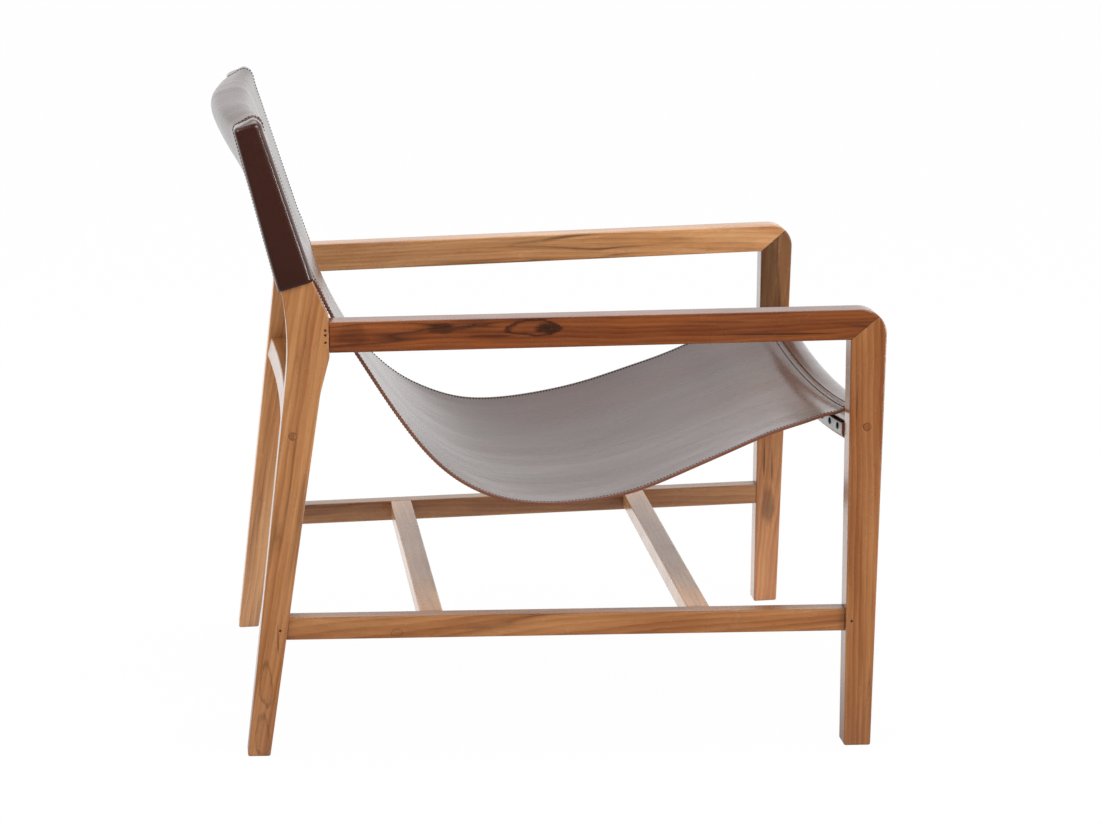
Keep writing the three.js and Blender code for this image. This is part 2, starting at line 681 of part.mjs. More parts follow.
function plug(sign, { along, up }, grow = 0) {
  const start = grow > 0 ? -OVERRUN : 0;
  const profile = [[start, PLUG_DIAMETER / 2], [PLUG_LENGTH, PLUG_DIAMETER / 2]];
  return peg(sign, along, up, profile, grow, 20);
}

function bolt(sign, { along, up }, grow = 0) {
  const head = PLUG_LENGTH + 2 * FIT_GAP;
  const neck = head + BOLT_HEAD_LENGTH;
  const start = grow > 0 ? PLUG_LENGTH / 2 : head;
  const profile = [
    [start, BOLT_HEAD_DIAMETER / 2], [neck, BOLT_HEAD_DIAMETER / 2],
    [neck, BOLT_DIAMETER / 2], [head + BOLT_LENGTH, BOLT_DIAMETER / 2],
  ];
  return peg(sign, along, up, profile, grow, 12);
}

const without = (whole, cutters) => cutters.reduce((rest, cutter) => rest.subtract(cutter), whole);

// Names, solids and colours of every piece
const teak = 0xb57a45;
const leather_brown = 0x4a2a20;
const leather_grey = 0x6d5f58;
const steel = 0x9a9a9a;
const dark_metal = 0x2a2624;
const pieces = [];
const addPiece = (name, found, color) => pieces.push({ name, found, color });

for (const { name: side, sign } of sides) {
  const side_pins = pins.map((spot) => pin(sign, spot.along, spot.up, FIT_GAP));
  const bores = bolts.flatMap((spot) => [plug(sign, spot, FIT_GAP), bolt(sign, spot, FIT_GAP)]);
  const corner = board(sign, corner_outline, 0, FRAME_THICK, EDGE_ROUND);
  const post = board(sign, post_outline, 0, FRAME_THICK, EDGE_ROUND);
  const beyond = [-OVERRUN, FRAME_THICK + OVERRUN];
  const post_cut = board(sign, post_outline.map(([a, u]) => [a + FIT_GAP, u]), ...beyond);

  const leg = without(corner.intersect(board(sign, mitreCut(false), ...beyond)), [
    stretcherTenon(sign, FIT_GAP), tongue(sign, FIT_GAP), railTenon(FIT_GAP), ...side_pins, ...bores,
  ]);
  addPiece(`front_leg_${side}`, leg, teak);

  const arm = without(corner.intersect(board(sign, mitreCut(true), ...beyond)), [post_cut]);
  const arm_cuts = [tongue(sign, FIT_GAP), ...side_pins];
  addPiece(`arm_${side}`, without(arm.add(armTenon(sign)), arm_cuts), teak);

  addPiece(`back_leg_${side}`, without(post, [
    armTenon(sign, FIT_GAP), stretcherTenon(sign, FIT_GAP), backRailTenon(FIT_GAP),
    ...side_pins, ...bores,
  ]), teak);

  const bar_length = leg_along + LEG_FOOT / 2 - POST_FOOT;
  const bar_outline = rectangle(POST_FOOT, stretcher_low, bar_length, STRETCHER_HEIGHT);
  const bar = board(sign, bar_outline, STRETCHER_INSET, stretcher_in, EDGE_ROUND);
  const leg_cut = board(sign, corner_outline.map(([a, u]) => [a - FIT_GAP, u]), ...beyond);
  const stretcher = without(bar, [post_cut, leg_cut]).add(stretcherTenon(sign));
  addPiece(`side_stretcher_${side}`, without(stretcher, [
    crossTenon(CROSS_REAR_ALONG, FIT_GAP), crossTenon(cross_front_along, FIT_GAP), ...side_pins,
  ]), teak);

  addPiece(`mitre_tongue_${side}`, tongue(sign), teak);
  addPiece(`sleeve_${side}`, sleeve(sign), leather_brown);
  pins.forEach((spot) => addPiece(`${spot.name}_${side}`, pin(sign, spot.along, spot.up), dark_metal));
  bolts.forEach((spot) => {
    addPiece(`${spot.name}_plug_${side}`, plug(sign, spot), teak);
    addPiece(`${spot.name}_bolt_${side}`, bolt(sign, spot), steel);
  });
}

addPiece("cross_stretcher_rear", crossStretcher(CROSS_REAR_ALONG), teak);
addPiece("cross_stretcher_front", crossStretcher(cross_front_along), teak);
const rail_bores = sides.flatMap(({ sign }) => bolts.map((spot) => bolt(sign, spot, FIT_GAP)));
addPiece("back_rail", without(backRail(), rail_bores), teak);
addPiece("front_rail", without(frontRail(), [
  ...rail_bores, ...nailPlaces().map((x) => nail(x, FIT_GAP)),
]), teak);
addPiece("sling", sling(), leather_grey);
addPiece("back_flap", hungSheet(flapRun), leather_grey);
nailPlaces().forEach((x, i) => addPiece(`nail_${i + 1}`, nail(x), dark_metal));

// The finished group stands centred over its own footprint
const group = new THREE.Group();
group.name = "sling_lounge_chair";
for (const { name, found, color } of pieces) {
  const { vertProperties, triVerts, numProp } = found.getMesh();
  const geometry = new THREE.BufferGeometry();
  const places = [];
  for (let i = 0; i < vertProperties.length; i += numProp) {
    places.push(...vertProperties.slice(i, i + 3));
  }
  geometry.setAttribute("position", new THREE.Float32BufferAttribute(places, 3));
  geometry.setIndex(Array.from(triVerts));
  const mesh = new THREE.Mesh(geometry, new THREE.MeshStandardMaterial({ color, roughness: 0.6 }));
  mesh.name = name;
  group.add(mesh);
}
const box = new THREE.Box3().setFromObject(group);
const centre = box.getCenter(new THREE.Vector3());
group.children.forEach((mesh) => mesh.geometry.translate(0, -centre.y, -box.min.z));

export default group;
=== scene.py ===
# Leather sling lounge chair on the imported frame: teak boards, one hung hide with two sleeves,
# their threads, and a white studio seen from the photograph's own viewpoint
import math

import bpy
import bmesh
import numpy as np
from mathutils import Matrix, Vector, noise


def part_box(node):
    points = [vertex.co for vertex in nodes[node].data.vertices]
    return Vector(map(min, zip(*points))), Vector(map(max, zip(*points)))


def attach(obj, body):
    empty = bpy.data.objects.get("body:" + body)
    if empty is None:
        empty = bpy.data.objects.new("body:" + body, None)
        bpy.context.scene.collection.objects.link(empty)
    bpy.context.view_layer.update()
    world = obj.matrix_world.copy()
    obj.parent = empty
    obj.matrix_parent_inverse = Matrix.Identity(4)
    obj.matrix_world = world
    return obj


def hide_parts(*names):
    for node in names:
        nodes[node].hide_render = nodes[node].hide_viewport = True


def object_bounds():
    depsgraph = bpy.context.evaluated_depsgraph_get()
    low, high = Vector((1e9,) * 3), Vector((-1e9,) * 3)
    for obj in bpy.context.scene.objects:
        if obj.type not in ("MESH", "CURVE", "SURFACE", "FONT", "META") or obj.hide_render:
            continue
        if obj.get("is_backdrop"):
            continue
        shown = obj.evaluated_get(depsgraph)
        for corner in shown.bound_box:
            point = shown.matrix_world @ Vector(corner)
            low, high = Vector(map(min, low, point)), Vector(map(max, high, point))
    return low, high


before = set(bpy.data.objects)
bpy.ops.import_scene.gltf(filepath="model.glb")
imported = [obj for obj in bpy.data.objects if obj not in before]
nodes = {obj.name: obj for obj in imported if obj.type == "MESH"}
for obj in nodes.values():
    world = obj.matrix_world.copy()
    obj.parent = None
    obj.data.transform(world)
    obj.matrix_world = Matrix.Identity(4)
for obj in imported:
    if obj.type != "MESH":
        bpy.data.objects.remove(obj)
bpy.context.view_layer.update()
cad_low, cad_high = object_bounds()

# ---- sizes in metres: "along" runs forward from the heel, "up" from the floor
FRAME_DEPTH = 0.761
HALF_WIDTH_REAR = 0.291
SPLAY = 0.047 / 0.761
LEAN = 0.019 / 0.753
FRAME_THICK = 0.031
heel_y = cad_low.y + FRAME_DEPTH
# the post above the arm
ARM_REAR_UP = 0.5245
POST_RISE = 0.2285
POST_HEIGHT = ARM_REAR_UP + POST_RISE
POST_TOP_REAR = 0.006
POST_TOP_REAR_UP = 0.745
POST_TOP_FRONT = 0.032
BACK_LEAN = 56.5 / 225
FRONT_LEAN = 57.5 / 184
# the dished front rail
RAIL_ALONG = 0.7195
RAIL_DEPTH = 0.036
RAIL_UP = 0.373
RAIL_ROUND = 0.018
RAIL_ROUND_UP = 0.3915
RAIL_MIDDLE = 0.7375
RAIL_HALF = 0.295
RAIL_DISH = 0.018
RAIL_CUT = 0.004
# the sleeve
SLEEVE_OUT = 0.0033
SLEEVE_FOOT = 0.561
SLEEVE_SLANT = 0.0125
SLEEVE_TOP_REAR = 0.7533
SLEEVE_TOP_FRONT = 0.7613
SLEEVE_CORNER = 0.0062
SLEEVE_FULLER = 0.0045
SLEEVE_TOP_ROUND = 0.008
SLEEVE_WALL = 0.0028
SLEEVE_RINGS = 40
SLEEVE_TOP_RINGS = 7
SLEEVE_CORNER_STEPS = 7
SLEEVE_THINNEST_ROUND = 0.0008
SLEEVE_WAVE = 0.0005
# the hide
LEATHER = 0.0035
SIDE_GAP = 0.004
SAG = 0.01
BULGE = 0.026
WRAP_GAP = 0.0006
TAIL_HEIGHT = 0.016
SEAM_WIDTH = 0.0034
SEAM_DEPTH = 0.0010
SEAM_FOOT = 0.557
HOOD_PROUD = 0.0010
HOOD_REAR_UP = 0.7425
HOOD_FRONT_RISE = 0.95
DISH_START = 0.63
DISH_RUN = 0.06
SEAT_TOP = 0.45
TUCK_FOOT = 0.55
TUCK = 0.0007
LINE_STEP = 0.001
# the hide's grid: rows along its run, columns across it, closer together at the edges
HOOD_ROWS = 56
HANG_ROWS = 244
SEAM_ROWS = 34
SEAM_START = 0.69
COLUMNS = 97
EDGE_CROWDING = 0.96


def half_width(along, up):
    return HALF_WIDTH_REAR + SPLAY * along - LEAN * up


def rail_drop(x):
    return RAIL_DISH * (np.minimum(1, np.abs(x) / RAIL_HALF) ** 2 - 1)


def hood_back(up):
    return POST_TOP_REAR + BACK_LEAN * (POST_TOP_REAR_UP - up) - SLEEVE_OUT


def hood_front(up):
    return POST_TOP_FRONT + FRONT_LEAN * (POST_HEIGHT - up) + SLEEVE_OUT


def walked(points):
    """How far along their line each of the points lies."""
    return np.concatenate([[0], np.cumsum(np.linalg.norm(np.diff(points, axis=0), axis=1))])


def smooth_line(points, step):
    """A natural cubic spline through the points, sampled about every step of its length."""
    points = np.array(points, float)
    t = walked(points[:, :2])
    n, h = len(t), np.diff(t)
    a, b = np.zeros((n, n)), np.zeros((n, points.shape[1]))
    a[0, 0] = a[-1, -1] = 1
    for i in range(1, n - 1):
        a[i, i - 1: i + 2] = h[i - 1], 2 * (h[i - 1] + h[i]), h[i]
        b[i] = 6 * ((points[i + 1] - points[i]) / h[i] - (points[i] - points[i - 1]) / h[i - 1])
    m = np.linalg.solve(a, b)
    found = []
    for i in range(n - 1):
        count = max(2, round(h[i] / step))
        for k in range(count):
            s = k / count * h[i]
            left, right = h[i] - s, s
            found.append(
                m[i] * left ** 3 / (6 * h[i]) + m[i + 1] * right ** 3 / (6 * h[i])
                + (points[i] / h[i] - m[i] * h[i] / 6) * left
                + (points[i + 1] / h[i] - m[i + 1] * h[i] / 6) * right
            )
    found.append(points[-1])
    return np.array(found)


def even_rows(line, count):
    """The line's points again, count of them, evenly spaced along it."""
    t = walked(line[:, :2])
    at = np.linspace(0, t[-1], count)
    return np.stack([np.interp(at, t, line[:, k]) for k in range(line.shape[1])], axis=1)


# ---- the hide's run: up behind, over the top, down the back, along the seat, round the rail
# the front of the back, and the flap behind it: shares of the post's rise, and how far the
# middle lies from the line between the sleeves
back_rise = [0.978, 0.63, 0.216]
back_sag = [0.9, 0.62, 0.5]
flap_across = [1, 0.93, 0.7, 0.35, 0.08] + [0] * 10
flap_rise = [0.98, 1.012, 1.026, 1.015, 0.992, 0.955, 0.9, 0.83, 0.76, 0.69, 0.62, 0.54, 0.4,
             0.28, 0.16]
flap_bulge = [0, 0.5, 0.65, 0.75, 0.85, 0.92, 0.92, 0.76, 0.45, 0.05, -0.08, -0.05, 0, 0, 0]
# the seat below the sleeves: its right edge, its left edge, and how far its middle sags
right_edge = [
    [0.0935, 0.5655], [0.1115, 0.5270], [0.1395, 0.4820], [0.1685, 0.4355], [0.2035, 0.3833],
    [0.2395, 0.3420], [0.2700, 0.3195], [0.3100, 0.3025], [0.3553, 0.2955], [0.4080, 0.2975],
    [0.4700, 0.3100], [0.5295, 0.3335], [0.5850, 0.3577], [0.6350, 0.3787], [0.6800, 0.3940],
]
left_edge = [
    [0.0927, 0.5655], [0.1050, 0.5270], [0.1190, 0.4800], [0.1445, 0.4300], [0.1835, 0.3785],
    [0.2250, 0.3430], [0.2600, 0.3245], [0.3050, 0.3100], [0.3500, 0.3070], [0.4063, 0.3120],
    [0.4700, 0.3240], [0.5351, 0.3430], [0.5850, 0.3590], [0.6300, 0.3765], [0.6800, 0.3940],
]
seat_sag = [0.002, 0.0005, 0, 0, 0.0015, 0.0055, 0.0095, 0.0125, 0.014, 0.015, 0.0153, 0.0158,
            0.0164, 0.0172, 0.018]
# from this point of the seat on, its middle sags straight down
SAG_UPRIGHT_FROM = 10
# on the last of the way the hide is alike across: a shallow valley, the seam behind the roll
seam_run = [[0.7000, 0.4002], [0.7095, 0.4020], [0.7172, 0.4053], [0.7215, 0.4084],
            [0.7231, 0.4092], [0.7262, 0.4099]]


def follows_rail(along):
    """How far the hide follows the rail's dish: not at all in the seat, wholly on the rail."""
    share = np.clip((along - DISH_START) / DISH_RUN, 0, 1)
    return share * share * (3 - 2 * share)


def rise_up(share):
    return ARM_REAR_UP + share * POST_RISE


def hood_edge(proud):
    """The hide's edge where it is sewn to a sleeve: up the rear, over the top, down the front."""
    run = [[hood_back(up) + LEATHER / 2 - proud, up]
           for up in np.linspace(rise_up(flap_rise[-1]), HOOD_REAR_UP, 14)]
    radius = SLEEVE_TOP_ROUND - LEATHER / 2 + proud
    for top, face, way, start, end in ((SLEEVE_TOP_REAR, hood_back, 1, 170, 105),
                                       (SLEEVE_TOP_FRONT, hood_front, -1, 85, 30)):
        centre_up = top - SLEEVE_TOP_ROUND
        centre_at = face(centre_up) + way * SLEEVE_TOP_ROUND
        for turn in np.radians(np.linspace(start, end, 5)):
            run.append([centre_at + radius * math.cos(turn), centre_up + radius * math.sin(turn)])
    run += [[hood_front(up) - LEATHER / 2, up]
            for up in np.linspace(rise_up(HOOD_FRONT_RISE), rise_up(back_rise[-1]), 12)]
    return run


def hide_controls():
    """Lines of [along, up] for the hide's right edge, its left edge and its middle."""
    hood_middle = []
    for rise, across, bulge in reversed(list(zip(flap_rise, flap_across, flap_bulge))[1:]):
        up = rise_up(rise)
        back, front = hood_back(up) + LEATHER / 2, hood_front(up) - LEATHER / 2
        place = back + (front - back) * across
        hood_middle.append([place - BULGE * bulge * (1 - across) - SAG * back_sag[0] * across, up])
    for rise, sag in zip(back_rise, back_sag):
        up = rise_up(rise)
        hood_middle.append([hood_front(up) - LEATHER / 2 - SAG * sag, up])
    both = (np.array(right_edge) + np.array(left_edge)) / 2
    run = np.gradient(both, axis=0)
    run /= np.linalg.norm(run, axis=1, keepdims=True)
    drop = np.stack([run[:, 1], -run[:, 0]], axis=1)
    drop[SAG_UPRIGHT_FROM:] = (0, -1)
    middle = both + drop * (np.array(seat_sag) * (1 - follows_rail(both[:, 0])))[:, None]
    return [line + seam_run for line in (hood_edge(HOOD_PROUD) + right_edge,
                                         hood_edge(HOOD_PROUD / 2) + left_edge,
                                         hood_middle + middle.tolist())]


def wrap_controls():
    """The run round the rail, from its top rear, and on up its back to the tail's edge."""
    grow = WRAP_GAP + LEATHER / 2
    run = []

    def arc(centre, radius, start, end, count):
        for k in range(count + 1):
            turn = math.radians(start + (end - start) * k / count)
            run.append([centre[0] + radius * math.cos(turn),
                        centre[1] + radius * math.sin(turn), 1])

    arc((RAIL_MIDDLE, RAIL_ROUND_UP), RAIL_ROUND + grow, 100, 0, 20)
    arc((RAIL_ALONG + RAIL_DEPTH - RAIL_CUT, RAIL_UP + RAIL_CUT), RAIL_CUT + grow, 0, -90, 6)
    arc((RAIL_ALONG + RAIL_CUT, RAIL_UP + RAIL_CUT), RAIL_CUT + grow, -90, -180, 6)
    run.append([RAIL_ALONG - grow, RAIL_UP + TAIL_HEIGHT * 0.6, 1])
    run.append([RAIL_ALONG - grow, RAIL_UP + TAIL_HEIGHT, 1])
    return run


wrap = np.array(wrap_controls())
lines = []
for points in hide_controls():
    whole = smooth_line([[*p, 0] for p in points] + wrap[:3].tolist(), LINE_STEP)
    end = int(np.argmin(np.linalg.norm(whole[:, :2] - wrap[0, :2], axis=1)))
    top = int(np.argmax(whole[: end, 1]))
    last = top + int(np.argmax(whole[top: end, 0] > SEAM_START))
    back_rows = HANG_ROWS - HOOD_ROWS - SEAM_ROWS
    hang = np.concatenate([even_rows(whole[: top + 1], HOOD_ROWS)[:-1],
                           even_rows(whole[top: last + 1], back_rows + 1)[:-1],
                           even_rows(whole[last: end + 1], SEAM_ROWS + 1)])
    hang[:, 2] = follows_rail(hang[:, 0]) * (hang[:, 1] < SEAT_TOP)
    lines.append(np.concatenate([hang[:-1], wrap]))
right_line, left_line, middle_line = lines
ROWS = len(middle_line)
shares = (np.sin(np.linspace(-1, 1, COLUMNS) * math.pi / 2 * EDGE_CROWDING)
          / math.sin(math.pi / 2 * EDGE_CROWDING))
spread = np.stack([
    middle_line + ((right_line if share < 0 else left_line) - middle_line) * share ** 2
    for share in shares], axis=1)
along, up, follows = spread[:, :, 0], spread[:, :, 1], spread[:, :, 2]
tuck = np.clip((up - TUCK_FOOT) / 0.02, 0, 1) * TUCK
across = shares[None, :] * (half_width(along, up) - FRAME_THICK - SIDE_GAP + tuck)
hide = np.stack([across, heel_y - along, up + follows * rail_drop(across)], axis=2)


def sheet_normals(grid):
    """The way out of the hide at each point: towards the sitter's side of the seat."""
    found = np.cross(np.gradient(grid, axis=0), np.gradient(grid, axis=1))
    found /= np.linalg.norm(found, axis=2, keepdims=True)
    return -found if found[HANG_ROWS // 2, COLUMNS // 2, 2] < 0 else found


# ---- slight waves of a used hide, none where it is sewn or wrapped
# each wave is its height, its counts per metre across and along, and its slice of the noise
hide_waves = ((0.0012, 9, 4.5, 3.7), (0.00005, 34, 9, 8.1))
CALM_SHARE = 0.12
CALM_ROWS = 12
CALM_REST = 0.15
outward = sheet_normals(hide)
run_length = walked(hide[:, COLUMNS // 2])
waves = np.zeros((ROWS, COLUMNS))
for r in range(ROWS):
    for c in range(COLUMNS):
        waves[r, c] = sum(
            height * noise.noise(Vector((hide[r, c, 0] * wide, run_length[r] * long, cut)))
            for height, wide, long, cut in hide_waves)
calm = np.clip((1 - np.abs(shares)) / CALM_SHARE, 0, 1)[None, :] * np.ones((ROWS, 1))
wrapped = np.arange(ROWS - HANG_ROWS + SEAM_ROWS)
calm[HANG_ROWS - SEAM_ROWS:] *= np.clip(1 - wrapped / CALM_ROWS, CALM_REST, 1)[:, None]
hide += outward * (waves * calm)[:, :, None]
# the seam with a sleeve turns in, so that the two roundings meet in a groove
from_edge = np.minimum(np.abs(hide[:, :, 0] - hide[:, :1, 0]),
                       np.abs(hide[:, :, 0] - hide[:, -1:, 0]))
turned = np.clip(1 - from_edge / SEAM_WIDTH, 0, 1) ** 2 * np.clip((up - SEAM_FOOT) / 0.012, 0, 1)
hide -= outward * (SEAM_DEPTH * turned)[:, :, None]
outward = sheet_normals(hide)


def link(obj):
    bpy.context.scene.collection.objects.link(obj)
    return obj


def mesh_object(name, points, faces, materials, uvs=None, indices=None, smooth=True):
    mesh = bpy.data.meshes.new(name)
    mesh.from_pydata([tuple(p) for p in points], [], faces)
    for material in materials:
        mesh.materials.append(material)
    if indices is not None:
        mesh.polygons.foreach_set("material_index", indices)
    if uvs is not None:
        layer = mesh.uv_layers.new(name="hide")
        corner = np.array([uvs[loop.vertex_index] for loop in mesh.loops])
        layer.data.foreach_set("uv", corner.ravel())
    work = bmesh.new()
    work.from_mesh(mesh)
    bmesh.ops.recalc_face_normals(work, faces=work.faces)
    work.to_mesh(mesh)
    work.free()
    mesh.polygons.foreach_set("use_smooth", [smooth] * len(mesh.polygons))
    mesh.update()
    return link(bpy.data.objects.new(name, mesh))


# in the hide's UV, across and along in metres, the lining and the cut edge are moved aside
LINING_U = 3.0
RIM_U = 6.0
# the cut edge's section: how high in half the thickness, how far it stands out
rim_levels = [(0.78, 0.0004), (0.3, 0.0007), (0.0, 0.00045), (-0.3, 0.0007), (-0.78, 0.0004)]


def thick_sheet(name, grid, normals, thickness, materials):
    """A grid of points as a closed sheet with a cut edge: two faces and a rim between them."""
    rows, columns = grid.shape[:2]
    border = [(0, c) for c in range(columns)] + [(r, columns - 1) for r in range(1, rows)]
    border += [(rows - 1, c) for c in range(columns - 2, -1, -1)]
    border += [(r, 0) for r in range(rows - 2, 0, -1)]
    outer = {}
    for r, c in border:
        here, way = Vector(grid[r, c]), Vector()
        if c in (0, columns - 1):
            way += (here - Vector(grid[r, 1 if c == 0 else columns - 2])).normalized()
        if r in (0, rows - 1):
            way += (here - Vector(grid[1 if r == 0 else rows - 2, c])).normalized()
        outer[r, c] = way.normalized()
    half = thickness / 2
    upper = grid + normals * half
    lower = grid - normals * half
    count = rows * columns
    uv = np.zeros((count, 2))
    uv[:, 0] = grid[:, :, 0].ravel()
    uv[:, 1] = np.repeat(walked(grid[:, columns // 2]), columns)
    uvs = [*uv, *(uv + [LINING_U, 0.0])]
    faces, indices = [], []
    for r in range(rows - 1):
        for c in range(columns - 1):
            a = r * columns + c
            quad = (a, a + 1, a + columns + 1, a + columns)
            faces += [quad, tuple(count + k for k in quad)]
            indices += [0, 1]
    loops = [[r * columns + c for r, c in border]]
    extra = []
    for lift, push in rim_levels:
        loop = []
        for r, c in border:
            loop.append(2 * count + len(extra))
            extra.append(
                Vector(grid[r, c]) + Vector(normals[r, c]) * half * lift + outer[r, c] * push)
            uvs.append(uv[r * columns + c] + [RIM_U + lift * half, 0])
        loops.append(loop)
    loops.append([count + r * columns + c for r, c in border])
    for first, second in zip(loops, loops[1:]):
        for k in range(len(border)):
            n = (k + 1) % len(border)
            faces.append((first[k], first[n], second[n], second[k]))
            indices.append(2)
    points = np.concatenate([upper.reshape(-1, 3), lower.reshape(-1, 3),
                             np.array([tuple(p) for p in extra])])
    return mesh_object(name, points, faces, materials, uvs, indices)


# ---- materials
def srgb(r, g, b):
    return tuple(c / 255 / 12.92 if c <= 10.3 else ((c / 255 + 0.055) / 1.055) ** 2.4
                 for c in (r, g, b))


class Net:
    """Short calls for the nodes of one material or world, whose tree is emptied first."""

    def __init__(self, owner):
        owner.use_nodes = True
        self.tree = owner.node_tree
        self.tree.nodes.clear()

    def node(self, kind, values=(), **settings):
        """A shader node with its own settings and (input, plain value) pairs."""
        made = self.tree.nodes.new("ShaderNode" + kind)
        for key, value in settings.items():
            setattr(made, key, value)
        for key, value in values:
            made.inputs[key].default_value = value
        return made

    def join(self, source, target):
        self.tree.links.new(source, target)

    def mapping(self, vector, scale=(1, 1, 1), location=(0, 0, 0), rotation=(0, 0, 0)):
        made = self.node("Mapping", [("Scale", scale), ("Location", location),
                                     ("Rotation", rotation)])
        self.join(vector, made.inputs["Vector"])
        return made.outputs["Vector"]

    def noise(self, vector, scale, detail=4.0, rough=0.55, warp=0.0, location=(0, 0, 0), turn=0):
        """Noise of scale per metre along each axis, moved by location and turned about Z."""
        made = self.node("TexNoise", [("Scale", 1.0), ("Detail", detail), ("Roughness", rough),
                                      ("Distortion", warp)])
        self.join(self.mapping(vector, scale, location, (0, 0, turn)), made.inputs["Vector"])
        return made.outputs["Fac"]

    def rings(self, vector, profile, scale, warp, detail, detail_scale):
        made = self.node(
            "TexWave", [("Scale", scale), ("Distortion", warp), ("Detail", detail),
                        ("Detail Scale", detail_scale)],
            wave_type="RINGS", rings_direction="X", wave_profile=profile)
        self.join(vector, made.inputs["Vector"])
        return made.outputs["Fac"]

    def ramp(self, value, stops, mode="LINEAR"):
        made = self.node("ValToRGB")
        made.color_ramp.interpolation = mode
        elements = made.color_ramp.elements
        while len(elements) < len(stops):
            elements.new(0.5)
        for element, (place, colour) in zip(elements, stops):
            element.position = place
            element.color = (*colour, 1)
        self.join(value, made.inputs["Fac"])
        return made.outputs["Color"]

    def level(self, value, *stops, mode="LINEAR"):
        """A grey ramp of (place, level) stops."""
        return self.ramp(value, [(place, (grey,) * 3) for place, grey in stops], mode)

    def mix(self, factor, first, second, blend="MIX"):
        made = self.node("Mix", data_type="RGBA", blend_type=blend)
        for value, at in ((factor, 0), (first, 6), (second, 7)):
            if hasattr(value, "is_linked"):
                self.join(value, made.inputs[at])
            else:
                made.inputs[at].default_value = value if at == 0 else (*value, 1)
        return made.outputs[2]

    def math(self, kind, *values):
        made = self.node("Math", operation=kind)
        for at, value in enumerate(values):
            if hasattr(value, "is_linked"):
                self.join(value, made.inputs[at])
            else:
                made.inputs[at].default_value = value
        return made.outputs[0]

    def bump(self, height, strength, distance, normal=None):
        made = self.node("Bump", [("Strength", strength), ("Distance", distance)])
        self.join(height, made.inputs["Height"])
        if normal is not None:
            self.join(normal, made.inputs["Normal"])
        return made.outputs["Normal"]

    def position(self, coords="Object"):
        return self.node("TexCoord").outputs[coords]

    def axes(self, vector):
        """The vector's three numbers, one output each."""
        made = self.node("SeparateXYZ")
        self.join(vector, made.inputs[0])
        return made.outputs


def shader(name, values=()):
    """A new material, its net and its main shader with (input, plain value) pairs."""
    material = bpy.data.materials.new(name)
    net = Net(material)
    out, main = net.node("OutputMaterial"), net.node("BsdfPrincipled", values)
    net.join(main.outputs["BSDF"], out.inputs["Surface"])
    return material, net, main


TEAK_BROWNS = [srgb(198, 140, 88), srgb(178, 116, 64), srgb(150, 88, 42)]
TEAK_LINE = srgb(66, 32, 14)
TEAK_PORE = srgb(92, 50, 26)
TEAK_KNOT = srgb(44, 20, 9)
SEED_STEP = 1.37
WANDER = 0.022
EDGE_ROUND = 0.0022
# a knot's darkness from its centre out, filled and as an outline
KNOT_FILLED = ((0.0, 1), (0.6, 0.85), (0.85, 0.3), (1.0, 0))
KNOT_OUTLINE = ((0.0, 0.15), (0.6, 0.1), (0.84, 1), (1.0, 0))


